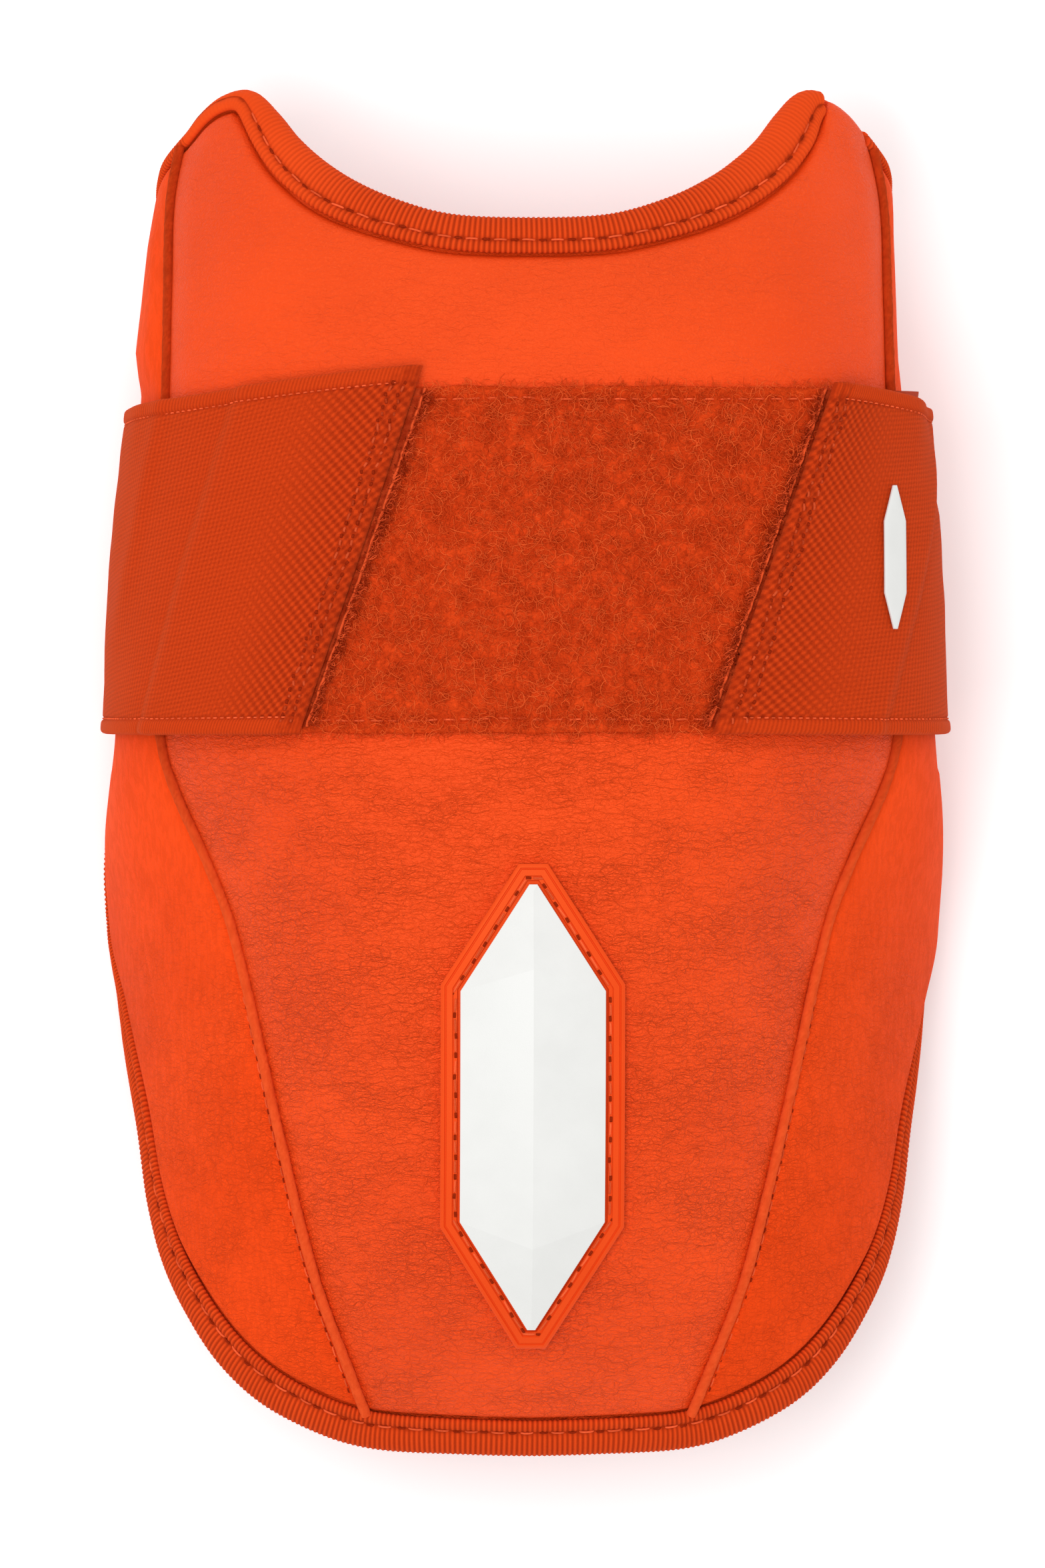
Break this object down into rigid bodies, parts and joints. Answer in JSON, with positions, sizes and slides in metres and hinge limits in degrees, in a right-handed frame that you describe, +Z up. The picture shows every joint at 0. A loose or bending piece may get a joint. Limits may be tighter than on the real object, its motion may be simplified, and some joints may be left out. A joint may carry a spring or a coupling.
{
  "type": "baseball elbow guard",
  "caption": "Padded leather elbow guard: curved front pad and two side pads in ribbed binding, closed by an elastic strap on a loop field, with a raised badge.",
  "frame": {"origin": "centre of the bounding box on the surface that the guard lies on", "axes": "+Z up from the table through the crown, +Y towards the upper-arm end, +X to the right of the picture"},
  "size_m": [0.1454, 0.2345, 0.0884],
  "materials": {
    "leather": "fine grained orange leather with soft creases",
    "side_leather": "orange stretch leather with a fine upright grain",
    "binding": "ribbed woven binding tape",
    "piping": "soft covered piping",
    "loop": "fuzzy loop pile",
    "elastic": "twill knitted elastic webbing",
    "hook": "moulded hooks on tape",
    "badge_border": "soft moulded rubber with a rim line",
    "badge_white": "satin white with bevelled faces",
    "strap_print": "thin raised white transfer"
  },
  "bodies": {
    "root": {"front_panel": "leather", "side_panel_left": "side_leather", "side_panel_right": "side_leather", "neckline_binding": "binding", "edge_binding": "binding", "piping_left": "piping", "piping_right": "piping", "loop_panel": "loop", "elastic_strap": "elastic", "hook_tab_left": "hook", "hook_tab_right": "hook", "badge_base": "badge_border", "badge_plate": "badge_white", "strap_mark": "strap_print"}
  },
  "joints": []
}
